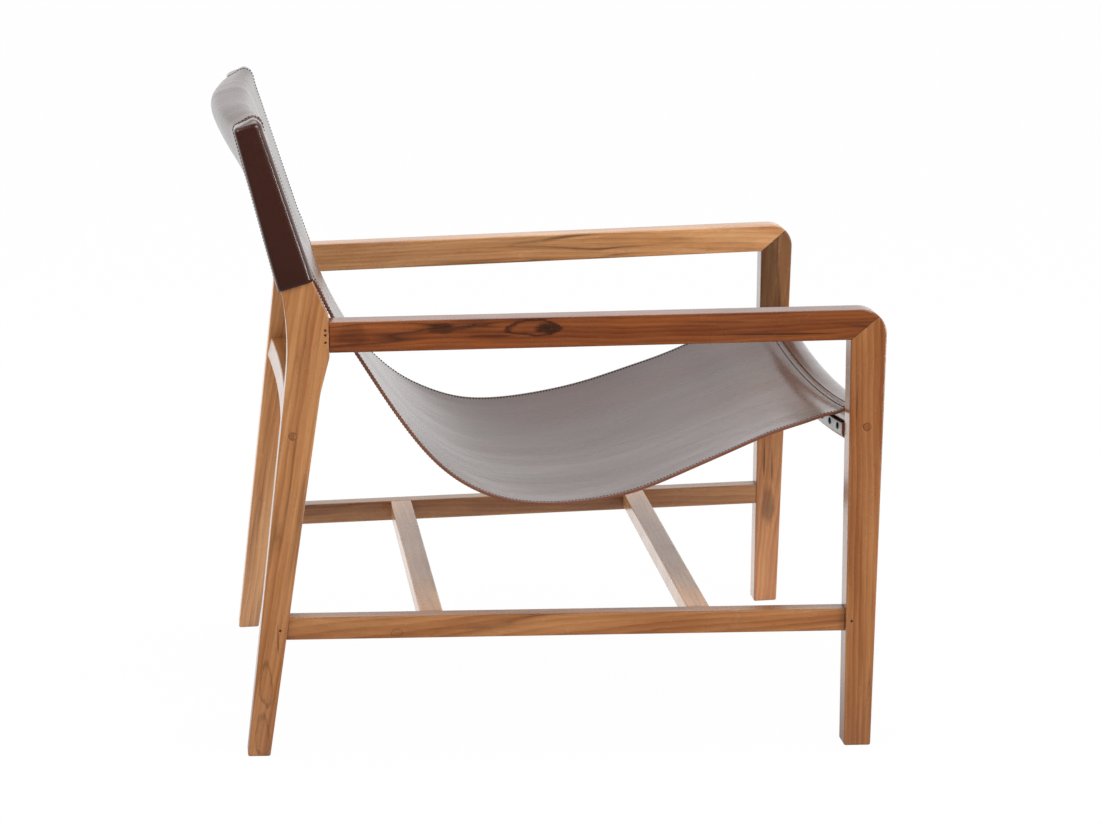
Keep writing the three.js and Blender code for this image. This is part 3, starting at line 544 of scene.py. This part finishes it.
def teak(name, way, centre, pith, seed, dark=0.5, tone=1.0, figure=1.0, deepen=1.0, ends=(1, 1),
         knots=()):
    """Oiled teak whose rings follow the board: way is its grain, pith where its rings centre.

    dark is the strength of its mineral lines, figure how far its rings wander, tone and deepen
    its colours' factor and power, ends the brightness at the two ends of half a metre of grain.
    Each knot is its place along and up, its half length along and up, and how dark it is, below
    zero for its outline alone.
    """
    material, net, main = shader("teak_" + name, [
        ("Specular IOR Level", 0.45), ("Coat Weight", 0.8), ("Coat Roughness", 0.22)])
    turn = Vector(way).normalized().rotation_difference(Vector((1, 0, 0))).to_matrix()
    shift = Vector((seed * SEED_STEP, *pith)) - turn @ Vector(centre)
    place = net.position()
    board = net.mapping(place, (1, 1, 1), shift, turn.to_euler("XYZ"))
    # the board's axis wanders a little, as a trunk does
    wander = net.node("TexNoise", [("Scale", 1.0), ("Detail", 2.0)])
    net.join(net.mapping(board, (2.6, 9, 9), (seed, seed * 2.1, 0)), wander.inputs["Vector"])
    centred = net.node("VectorMath", [(1, (0.5, 0.5, 0.5))], operation="SUBTRACT")
    net.join(wander.outputs["Color"], centred.inputs[0])
    scaled = net.node("VectorMath", [("Scale", WANDER * figure)], operation="SCALE")
    net.join(centred.outputs[0], scaled.inputs[0])
    moved = net.node("VectorMath", operation="ADD")
    net.join(board, moved.inputs[0])
    net.join(scaled.outputs[0], moved.inputs[1])
    warped = moved.outputs[0]
    rings = net.rings(warped, "SAW", 58, 1.6, 2.0, 0.35)
    bands = net.rings(warped, "SIN", 13, 3.0, 1.0, 0.3)
    fibre = net.noise(warped, (9, 420, 420), 5.0, 0.6)
    pores = net.noise(warped, (90, 1500, 1500), 1.0, 0.5, location=(3, 1, 2))
    blotch = net.noise(board, (5, 26, 26), 3.0, 0.5, location=(seed * 3, 0, 5))
    light, mid, deep = [[c ** deepen * tone for c in colour] for colour in TEAK_BROWNS]
    base = net.ramp(rings, [(0.0, light), (0.5, mid), (0.88, deep), (1.0, mid)])
    base = net.mix(0.42, base, net.ramp(bands, [(0.25, light), (0.75, deep)], "EASE"))
    base = net.mix(0.4, base, net.ramp(blotch, [(0.3, deep), (0.72, light)], "EASE"))
    base = net.mix(0.85, base, net.level(fibre, (0.3, 0.84), (0.7, 1.1)), "MULTIPLY")
    # dark mineral lines, which wander along the grain
    streak = net.noise(warped, (2.2, 34, 34), 3.0, 0.5, 0.35, (seed * 5, 2, 1))
    edge = net.math("ABSOLUTE", net.math("SUBTRACT", streak, 0.5))
    line = net.level(edge, (0.0, 1), (0.012, 0.55), (0.05, 0))
    where = net.noise(board, (3, 14, 14), 2.0, location=(seed * 7, 1, 4))
    where = net.level(where, (0.46, 0), (0.6, 1), mode="EASE")
    streaks = net.math("MULTIPLY", net.math("MULTIPLY", line, where), dark)
    base = net.mix(streaks, base, TEAK_LINE)
    tick = net.level(pores, (0.66, 0), (0.74, 1))
    base = net.mix(net.math("MULTIPLY", tick, 0.35), base, TEAK_PORE)
    for at, up, half_along, half_up, depth in knots:
        around = net.mapping(place, (0, 1 / half_along, 1 / half_up),
                             (0, (at - heel_y) / half_along, -up / half_up))
        reach = net.node("VectorMath", operation="LENGTH")
        net.join(around, reach.inputs[0])
        uneven = net.math("MULTIPLY_ADD", net.noise(around, (1.3, 1.3, 1.3), 3.0, 0.6), 0.7, -0.35)
        body = net.level(net.math("ADD", reach.outputs["Value"], uneven),
                         *(KNOT_FILLED if depth > 0 else KNOT_OUTLINE), mode="EASE")
        base = net.mix(net.math("MULTIPLY", body, abs(depth)), base, TEAK_KNOT)
    length = net.math("MULTIPLY_ADD", net.axes(board)[0], 2.0, 0.5 - 2.0 * seed * SEED_STEP)
    base = net.mix(1.0, base, net.level(length, (0.0, ends[0]), (1.0, ends[1])), "MULTIPLY")
    net.join(base, main.inputs["Base Color"])
    wear = net.noise(place, (18, 18, 18), 3.0, location=(seed, 0, 0))
    net.join(net.level(wear, (0.25, 0.2), (0.75, 0.32)), main.inputs["Roughness"])
    height = net.math("ADD", net.math("MULTIPLY", fibre, 0.7), net.math("MULTIPLY", tick, -0.5))
    bevel = net.node("Bevel", [("Radius", EDGE_ROUND)], samples=6)
    net.join(net.bump(height, 0.16, 0.0003, bevel.outputs["Normal"]), main.inputs["Normal"])
    return material


def leather(name, colours, coords, rough=(0.36, 0.5), pull=0.35, coat=(0.31, 0.22)):
    """Waxed full-grain hide: soft clouds of colour, long pull lines along the run, fine grain.

    colours are its three browns and its worn one, rough and coat the roughness of its face and
    of its wax where dull and where bright, pull the strength of its lines.
    """
    material, net, main = shader(name, [("Specular IOR Level", 0.45), ("Coat Weight", 1.0)])
    place = net.position(coords)
    cloud = net.noise(place, (5.5, 3.2, 5), 4.0, 0.55, 0.4, (0.3, 0.1, 0))
    pulls = net.noise(place, (160, 9, 90), 4.0, 0.6, 0.2, turn=0.05)
    scuff = net.noise(place, (14, 5, 9), 6.0, 0.68, 0.6, (4, 2, 1), 0.3)
    polish = net.noise(place, (26, 5, 20), 6.0, 0.66, 0.4, (2, 5, 3), 0.1)
    pebble = net.node("TexVoronoi", [("Scale", 950)], feature="SMOOTH_F1")
    net.join(net.mapping(place, (1, 0.8, 1)), pebble.inputs["Vector"])
    base = net.ramp(cloud, [(0.3, colours[0]), (0.55, colours[1]), (0.78, colours[2])], "EASE")
    pulled = net.mix(1.0, base, net.level(pulls, (0.35, 0.84), (0.65, 1.12)), "MULTIPLY")
    base = net.mix(pull, base, pulled)
    worn = net.level(scuff, (0.56, 0), (0.74, 1), mode="EASE")
    base = net.mix(net.math("MULTIPLY", worn, 0.3), base, colours[3])
    net.join(base, main.inputs["Base Color"])
    dull = [net.level(value, (0.3, rough[0]), (0.7, rough[1])) for value in (scuff, pulls)]
    net.join(net.mix(0.5, *dull), main.inputs["Roughness"])
    net.join(net.level(polish, (0.34, coat[0]), (0.66, coat[1])), main.inputs["Coat Roughness"])
    fine = net.bump(pebble.outputs["Distance"], 0.04, 0.0002)
    surface = net.bump(pulls, 0.02, 0.0004, net.bump(scuff, 0.06, 0.0008, fine))
    net.join(surface, main.inputs["Normal"])
    net.join(surface, main.inputs["Coat Normal"])
    return material


def cut_edge():
    """The raw edge of two hides sewn together: tan fibres with a dark line between them."""
    material, net, main = shader("hide_cut_edge", [("Roughness", 0.6)])
    place = net.position("UV")
    fibre = net.noise(place, (2200, 380, 1), 4.0, 0.6)
    long = net.noise(place, (40, 14, 1), 3.0)
    base = net.ramp(fibre, [(0.3, srgb(92, 46, 28)), (0.7, srgb(158, 94, 58))])
    base = net.mix(net.math("MULTIPLY", long, 0.7), base, srgb(84, 40, 28))
    middle = net.math("ABSOLUTE", net.math("SUBTRACT", net.axes(place)[0], RIM_U))
    seam = net.level(net.math("MULTIPLY", middle, 1000), (0.1, 0.8), (0.35, 0))
    net.join(net.mix(seam, base, srgb(38, 20, 14)), main.inputs["Base Color"])
    net.join(net.bump(fibre, 0.4, 0.0003), main.inputs["Normal"])
    return material


def thread_stuff():
    """Dark waxed thread, twisted and a little worn."""
    material, net, main = shader("thread", [("Roughness", 0.62), ("Specular IOR Level", 0.1)])
    place = net.position()
    twist = net.node("TexWave", [("Scale", 900)], wave_type="BANDS", bands_direction="DIAGONAL")
    net.join(place, twist.inputs["Vector"])
    worn = net.noise(place, (60, 60, 60), 3.0)
    base = net.ramp(twist.outputs["Fac"], [(0.2, srgb(20, 14, 12)), (0.8, srgb(40, 28, 24))])
    base = net.mix(net.math("MULTIPLY", worn, 0.4), base, srgb(54, 40, 34))
    net.join(base, main.inputs["Base Color"])
    net.join(net.bump(twist.outputs["Fac"], 0.4, 0.0001), main.inputs["Normal"])
    return material


def metal(name, light, deep, rough):
    material, net, main = shader(name, [("Metallic", 1.0)])
    marks = net.noise(net.position(), (300, 300, 300), 4.0, 0.6)
    net.join(net.ramp(marks, [(0.35, deep), (0.7, light)], "EASE"), main.inputs["Base Color"])
    net.join(net.level(marks, (0.3, rough), (0.7, rough + 0.2), mode="EASE"),
             main.inputs["Roughness"])
    net.join(net.bump(marks, 0.2, 0.0002), main.inputs["Normal"])
    return material


hide_face = leather(
    "hide_face", [srgb(58, 32, 25), srgb(70, 38, 30), srgb(84, 48, 37), srgb(104, 66, 50)], "UV")
hide_lining = leather(
    "hide_lining", [srgb(64, 38, 28), srgb(80, 48, 36), srgb(94, 60, 44), srgb(112, 76, 58)],
    "UV", rough=(0.42, 0.55))
sleeve_face = leather(
    "sleeve_face", [srgb(54, 20, 9), srgb(62, 25, 12), srgb(70, 30, 16), srgb(76, 36, 22)],
    "Object", rough=(0.3, 0.4), pull=0.2, coat=(0.18, 0.18))
edge_stuff = cut_edge()
thread = thread_stuff()
black_metal = metal("black_metal", srgb(70, 66, 62), srgb(26, 23, 21), 0.35)
brown_metal = metal("brown_metal", srgb(170, 112, 70), srgb(110, 68, 42), 0.45)
screw_metal = metal("screw_metal", srgb(196, 196, 198), srgb(150, 150, 152), 0.25)

# ---- teak on the frame's boards: grain way, pith, seed, dark, tone, figure, deepen, ends
board_grain = {
    "arm_right": ((0, -1, 0.012), (0.012, -0.055), 1.3, 1.0, 0.64, 1.7, 1.65, (1.25, 0.95)),
    "arm_left": ((0, -1, 0.012), (0.03, 0.06), 1.9, 0.8, 1.15, 1.2, 0.85),
    "front_leg_right": ((0.03, 0, 1), (0.06, 0.03), 2.6, 0.35, 0.75, 0.7, 1.12),
    "front_leg_left": ((0.03, 0, 1), (0.04, 0.05), 3.3, 0.9, 0.95, 1.1, 1.05, (1.25, 0.5)),
    "back_leg_right": ((0, -0.16, 1), (-0.05, 0.04), 4.1, 0.4, 0.89, 0.6, 1.0),
    "back_leg_left": ((0, -0.16, 1), (0.05, 0.04), 4.7, 0.4, 1.3, 0.9, 0.85),
    "side_stretcher_right": ((0, -1, 0.01), (0.05, 0.03), 5.5, 0.45, 0.82, 0.8, 1.05),
    "side_stretcher_left": ((0, -1, 0.01), (0.04, 0.05), 5.9, 0.7, 0.75, 1.0, 1.0),
    "cross_stretcher_rear": ((1, 0, 0.02), (0.03, 0.05), 6.3, 0.3, 1.2, 0.8, 0.8),
    "cross_stretcher_front": ((1, 0, -0.01), (0.05, 0.02), 7.7, 0.3, 1.3, 0.8, 0.8),
    "back_rail": ((1, 0, 0.01), (0.04, 0.04), 8.4, 0.3, 1.0, 0.8),
    "front_rail": ((1, 0, 0), (0.05, 0.03), 9.2, 0.3, 0.95, 0.8),
}
board_knots = {
    "arm_right": [(0.345, 0.515, 0.036, 0.0105, -0.8), (0.361, 0.5145, 0.017, 0.008, 0.95),
                  (0.238, 0.5155, 0.019, 0.008, 0.7), (0.134, 0.509, 0.022, 0.016, 0.35),
                  (0.295, 0.506, 0.035, 0.0022, 0.6), (0.634, 0.504, 0.075, 0.0016, 0.75),
                  (0.560, 0.519, 0.05, 0.0014, 0.5)],
    "front_leg_right": [(0.7262, 0.4165, 0.0006, 0.022, 0.8)],
    "back_leg_right": [(0.0245, 0.088, 0.0085, 0.03, -0.38),
                       (0.0190, 0.024, 0.0095, 0.03, -0.34),
                       (0.0400, 0.143, 0.0011, 0.022, 0.6)],
    "side_stretcher_right": [(0.181, 0.148, 0.008, 0.005, -0.35)],
    "front_leg_left": [(0.727, 0.203, 0.0014, 0.03, 0.8), (0.738, 0.193, 0.0014, 0.026, 0.7),
                       (0.733, 0.138, 0.011, 0.03, 0.5), (0.728, 0.44, 0.019, 0.1, 0.55)],
}


def repaint(name, material):
    for held in nodes[name].material_slots:
        held.material = material


for name in nodes:
    low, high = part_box(name)
    centre = (low + high) / 2
    if name in board_grain:
        way, *look = board_grain[name]
        repaint(name, teak(name, way, centre, *look, knots=board_knots.get(name, ())))
    elif "plug" in name or "tongue" in name:
        repaint(name, teak(name, (0.03, 0.02, 1), centre, (0.05, 0.02), 11 + 0.4 * len(name),
                           dark=0.2, tone=0.75, figure=0.7, deepen=1.12))
    elif "bolt" in name:
        repaint(name, screw_metal)
    elif "pin" in name:
        repaint(name, brown_metal)
    elif "nail" in name:
        repaint(name, black_metal)

# ---- the hide, with the two layers of the hood in one piece
sling = thick_sheet("leather_sling", hide, outward, LEATHER, [hide_face, hide_lining, edge_stuff])
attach(sling, "root")
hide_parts("sling", "back_flap")


# ---- a sleeve over each post
def sleeve_ring(sign, rear_up, front_up, round_at, inset, wall):
    """A rounded rectangle round the post, its rear at rear_up and its front at front_up."""
    ring = []
    near, far = -SLEEVE_OUT + inset + wall, FRAME_THICK + SLEEVE_OUT - inset - wall
    rear, front = hood_back(rear_up) + inset + wall, hood_front(front_up) - inset - wall
    for at, depth, start in ((rear, near, 180), (front, near, 270), (front, far, 0),
                             (rear, far, 90)):
        radius = max(SLEEVE_THINNEST_ROUND, round_at - wall * 0.6)
        if at == front and depth == near:
            # the front outer corner is fuller
            radius = max(SLEEVE_THINNEST_ROUND, (round_at + SLEEVE_FULLER) - wall * 1.9)
        centre_at = at + (radius if at == rear else -radius)
        centre_depth = depth + (radius if depth == near else -radius)
        for k in range(SLEEVE_CORNER_STEPS + 1):
            turn = math.radians(start + 90 * k / SLEEVE_CORNER_STEPS)
            a = centre_at + radius * math.cos(turn)
            d = centre_depth + radius * math.sin(turn)
            share = (a - rear) / max(1e-6, front - rear)
            u = rear_up + (front_up - rear_up) * share
            ring.append(Vector((sign * (half_width(a, u) - d), heel_y - a, u)))
    return ring


def sleeve_rings(sign, wall):
    """The rings from the slanted foot to the top, then over the top's rounding."""
    rings = []
    for k in range(SLEEVE_RINGS + 1):
        v = k / SLEEVE_RINGS
        rear_up = SLEEVE_FOOT + (SLEEVE_TOP_REAR - SLEEVE_TOP_ROUND - SLEEVE_FOOT) * v
        front_up = SLEEVE_FOOT + SLEEVE_SLANT
        front_up += (SLEEVE_TOP_FRONT - SLEEVE_TOP_ROUND - front_up) * v
        rings.append(sleeve_ring(sign, rear_up, front_up, SLEEVE_CORNER, 0.0, wall))
    for k in range(1, SLEEVE_TOP_RINGS + 1):
        turn = math.radians(90 * k / SLEEVE_TOP_RINGS)
        rise, inset = SLEEVE_TOP_ROUND * math.sin(turn), SLEEVE_TOP_ROUND * (1 - math.cos(turn))
        rear_up = SLEEVE_TOP_REAR - SLEEVE_TOP_ROUND + rise - wall
        front_up = SLEEVE_TOP_FRONT - SLEEVE_TOP_ROUND + rise - wall
        corner = max(0.001, SLEEVE_CORNER - inset * 0.7)
        rings.append(sleeve_ring(sign, rear_up, front_up, corner, inset, wall))
    return rings


def sleeve(sign, side):
    """A closed sock: an outer and an inner layer, each with a slightly domed top, and a foot."""
    outer, inner = sleeve_rings(sign, 0.0), sleeve_rings(sign, SLEEVE_WALL)
    count = len(outer[0])
    points, faces, indices = [], [], []
    for rings in (outer, inner):
        for r, ring in enumerate(rings):
            for p in ring:
                if rings is outer and 2 < r < SLEEVE_RINGS:
                    middle = sum(ring, Vector()) / count
                    bend = noise.noise(Vector((p.x * 20 + sign, p.y * 30, p.z * 16)))
                    p = p + (p - middle).normalized() * (SLEEVE_WAVE * bend)
                points.append(p)
    per = len(outer) * count
    for layer in range(2):
        for r in range(len(outer) - 1):
            for k in range(count):
                a = layer * per + r * count + k
                b = layer * per + r * count + (k + 1) % count
                faces.append((a, b, b + count, a + count))
                indices.append(0)
        cap = [layer * per + (len(outer) - 1) * count + k for k in range(count)]
        tops = [points[i] for i in cap]
        middle = sum(tops, Vector()) / count
        inward = len(points)
        for p in tops:
            points.append(middle.lerp(p, 0.55) + Vector((0, 0, 0.0006)))
        points.append(middle + Vector((0, 0, 0.0009)))
        for k in range(count):
            n = (k + 1) % count
            faces.append((cap[k], cap[n], inward + n, inward + k))
            faces.append((inward + k, inward + n, inward + count))
            indices += [0, 0]
    for k in range(count):
        n = (k + 1) % count
        faces.append((k, n, per + n, per + k))
        indices.append(1)
    made = mesh_object(f"leather_sleeve_{side}", points, faces, [sleeve_face, edge_stuff],
                       indices=indices)
    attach(made, "root")
    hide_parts(f"sleeve_{side}")


for side, sign in (("left", 1), ("right", -1)):
    sleeve(sign, side)


# ---- thread
STITCH_PITCH = 0.0042
STITCH_FILL = 0.72
STITCH_SIDES = 6
# how far each seam lies from the hide's edge: along the seat, and beside a sleeve
STITCH_IN = 0.0046
SEAM_STITCH_IN = 0.0022
# where the two seams behind the roll lie along
ROLL_SEAMS = (0.7249, 0.7190)
# a stitch's section: place along it, in lengths, and width, in radii
stitch_profile = [(-0.5, 0.35), (-0.4, 0.8), (0, 1), (0.4, 0.8), (0.5, 0.35)]


def stitch_mesh(name, paths, radius):
    """Short threads, one to a pitch, along paths of (point, surface normal) pairs."""
    points, faces = [], []
    for path in paths:
        spots = np.array([tuple(p) for p, n in path])
        ups = np.array([tuple(n) for p, n in path])
        t = walked(spots)
        at = STITCH_PITCH / 2
        while at < t[-1] - STITCH_PITCH / 2:
            here, ahead, behind, normal = [
                Vector([np.interp(at + d, t, values[:, k]) for k in range(3)])
                for d, values in ((0, spots), (STITCH_PITCH / 2, spots),
                                  (-STITCH_PITCH / 2, spots), (0, ups))]
            normal.normalize()
            way = (ahead - behind).normalized()
            cross = way.cross(normal).normalized()
            start = len(points)
            for place, width in stitch_profile:
                sink = radius * (0.25 - 0.9 * (2 * abs(place)) ** 3)
                middle = here + way * (place * STITCH_PITCH * STITCH_FILL) + normal * sink
                for k in range(STITCH_SIDES):
                    turn = math.radians(360 / STITCH_SIDES * k)
                    out = cross * math.cos(turn) + normal * math.sin(turn)
                    points.append(middle + out * radius * width)
            last = start + (len(stitch_profile) - 1) * STITCH_SIDES
            for ring in range(start, last, STITCH_SIDES):
                for k in range(STITCH_SIDES):
                    a, b = ring + k, ring + (k + 1) % STITCH_SIDES
                    faces.append((a, b, b + STITCH_SIDES, a + STITCH_SIDES))
            faces.append(tuple(start + k for k in range(STITCH_SIDES)))
            faces.append(tuple(last + k for k in range(STITCH_SIDES)))
            at += STITCH_PITCH
    made = mesh_object(name, points, faces, [thread])
    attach(made, "root")


def hide_point(row, column, side):
    """A point on a face of the hide, between its rows and columns, and the way out of it."""
    r, c = min(int(row), ROWS - 2), min(int(column), COLUMNS - 2)
    fr, fc = row - r, column - c
    found = []
    for grid in (hide, outward):
        top = grid[r, c] * (1 - fc) + grid[r, c + 1] * fc
        low = grid[r + 1, c] * (1 - fc) + grid[r + 1, c + 1] * fc
        found.append(Vector(top * (1 - fr) + low * fr))
    way = found[1].normalized() * side
    return found[0] + way * (LEATHER / 2), way


def column_in(row, inset, end):
    """The fractional column that lies inset from the hide's right edge, end 0, or its left."""
    so_far, step_by = 0.0, (-1 if end else 1)
    for c in (range(COLUMNS - 1, 0, -1) if end else range(COLUMNS - 1)):
        step = float(np.linalg.norm(hide[row, c] - hide[row, c + step_by]))
        if so_far + step >= inset:
            return c + (inset - so_far) / step * step_by
        so_far += step
    return COLUMNS / 2


def stitch_in(row):
    """How far the edge thread lies from the edge: close to it where the hide meets a sleeve."""
    share = min(1, max(0, (hide[row, 0, 2] - TUCK_FOOT) / 0.03))
    return STITCH_IN + (SEAM_STITCH_IN - STITCH_IN) * share


# the edge seams run from the flap's foot to the front of the rail, on both faces
# the far, left thread is thicker than the near one: partly real thread, partly a painted shadow
# along the hide's far edge
for end, side, radius in ((0, "right", 0.00055), (1, "left", 0.0009)):
    stitch_mesh(f"thread_edge_{side}", [
        [hide_point(row, column_in(row, stitch_in(row), end), face)
         for row in range(2, HANG_ROWS + 14)] for face in (1, -1)], radius)

seam_rows = np.arange(HANG_ROWS - SEAM_ROWS, HANG_ROWS)
roll_rows = [float(np.interp(at, middle_line[seam_rows, 0], seam_rows)) for at in ROLL_SEAMS]
stitch_mesh("thread_roll", [
    [hide_point(row, c, face) for c in np.linspace(1.5, COLUMNS - 2.5, 160)]
    for row in roll_rows for face in (1, -1)], 0.00065)

# ---- camera, at the photograph's own viewpoint, placed from the heel
CAMERA_PLACE = (-4.08858, 0.05271, 1.26640)
CAMERA_RIGHT = (-0.1101753, -0.99390666, -0.00330988)
CAMERA_AHEAD = (0.97002171, -0.10680069, -0.21829224)
camera_data = bpy.data.cameras.new("camera")
camera_data.sensor_fit = "HORIZONTAL"
camera_data.sensor_width = 36.0
camera_data.lens = 108.66
camera_data.clip_start = 0.1
camera_data.clip_end = 200
camera = link(bpy.data.objects.new("camera", camera_data))
right, ahead = Vector(CAMERA_RIGHT), Vector(CAMERA_AHEAD)
pose = Matrix((right, right.cross(ahead), -ahead)).transposed().to_4x4()
pose.translation = Vector((CAMERA_PLACE[0], heel_y + CAMERA_PLACE[1], CAMERA_PLACE[2]))
camera.matrix_world = pose
bpy.context.scene.camera = camera


# ---- studio: white behind, darker on the camera's side where it is mirrored, and four lamps
def studio_world():
    world = bpy.data.worlds.new("studio")
    bpy.context.scene.world = world
    net = Net(world)
    out, path = net.node("OutputWorld"), net.node("LightPath")
    toward = net.axes(net.position("Generated"))
    side = net.math("MULTIPLY_ADD", toward[0], 0.5, 0.5)
    light, mirrored, shown = [net.node("Background") for _ in range(3)]
    net.join(net.level(side, (0.2, 0.62), (0.65, 0.95), mode="EASE"), light.inputs["Color"])
    height = net.level(toward[2], (0.08, 1.0), (0.24, 0.68), mode="EASE")
    beyond = net.level(side, (0.3, 0.03), (0.62, 1.0), mode="EASE")
    net.join(net.mix(1.0, beyond, height, "MULTIPLY"), mirrored.inputs["Color"])
    shown.inputs["Color"].default_value = (1, 1, 1, 1)
    gloss, seen = net.node("MixShader"), net.node("MixShader")
    net.join(path.outputs["Is Glossy Ray"], gloss.inputs["Fac"])
    net.join(light.outputs[0], gloss.inputs[1])
    net.join(mirrored.outputs[0], gloss.inputs[2])
    eye = net.math("MAXIMUM", path.outputs["Is Camera Ray"], path.outputs["Is Transmission Ray"])
    net.join(eye, seen.inputs["Fac"])
    net.join(gloss.outputs[0], seen.inputs[1])
    net.join(shown.outputs[0], seen.inputs[2])
    net.join(seen.outputs[0], out.inputs["Surface"])


def lamp(name, place, target, size, power):
    data = bpy.data.lights.new(name, "AREA")
    data.shape = "RECTANGLE"
    data.size, data.size_y = size
    data.energy = power
    made = link(bpy.data.objects.new(name, data))
    made.location = place
    made.rotation_euler = (Vector(target) - Vector(place)).to_track_quat("-Z", "Y").to_euler()
    return made


def floor():
    """The stage: white to the eye, matt to the light, and as dark as the room in a mirror."""
    half, drop = 60, 0.0005
    material = bpy.data.materials.new("studio_floor")
    net = Net(material)
    out, both, path = net.node("OutputMaterial"), net.node("MixShader"), net.node("LightPath")
    glow, matt = net.node("Emission"), net.node("BsdfDiffuse", [("Color", (0.86, 0.86, 0.86, 1))])
    beyond = net.level(net.math("MULTIPLY_ADD", net.axes(net.position())[0], 0.25, 0.5),
                       (0.3, 0.04), (0.62, 1.0), mode="EASE")
    net.join(net.mix(path.outputs["Is Glossy Ray"], (1, 1, 1), beyond), glow.inputs["Color"])
    seen = net.math("MAXIMUM", path.outputs["Is Camera Ray"], path.outputs["Is Glossy Ray"])
    seen = net.math("MAXIMUM", seen, path.outputs["Is Transmission Ray"])
    net.join(net.math("MULTIPLY", seen, 0.975), both.inputs["Fac"])
    net.join(matt.outputs[0], both.inputs[1])
    net.join(glow.outputs[0], both.inputs[2])
    net.join(both.outputs[0], out.inputs["Surface"])
    corners = [(-half, -half, -drop), (half, -half, -drop), (half, half, -drop),
               (-half, half, -drop)]
    made = mesh_object("studio_floor", corners, [(0, 1, 2, 3)], [material], smooth=False)
    made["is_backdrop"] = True


studio_world()
chair_middle = (0, 0, 0.4)
lamp("key", (-1.9, -1.6, 2.6), chair_middle, (1.6, 1.2), 36)
lamp("fill", (-1.6, 2.0, 2.2), chair_middle, (1.4, 1.4), 18)
lamp("over", (0.4, 0.2, 3.0), chair_middle, (2.2, 1.6), 26)
strip = lamp("strip", (-1.5, -1.95, 0.62), (-0.25, 0.33, 0.62), (0.22, 1.2), 14)
strip.visible_camera = False
floor()

bpy.context.scene.view_settings.view_transform = "Standard"
bpy.context.view_layer.update()
low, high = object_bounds()
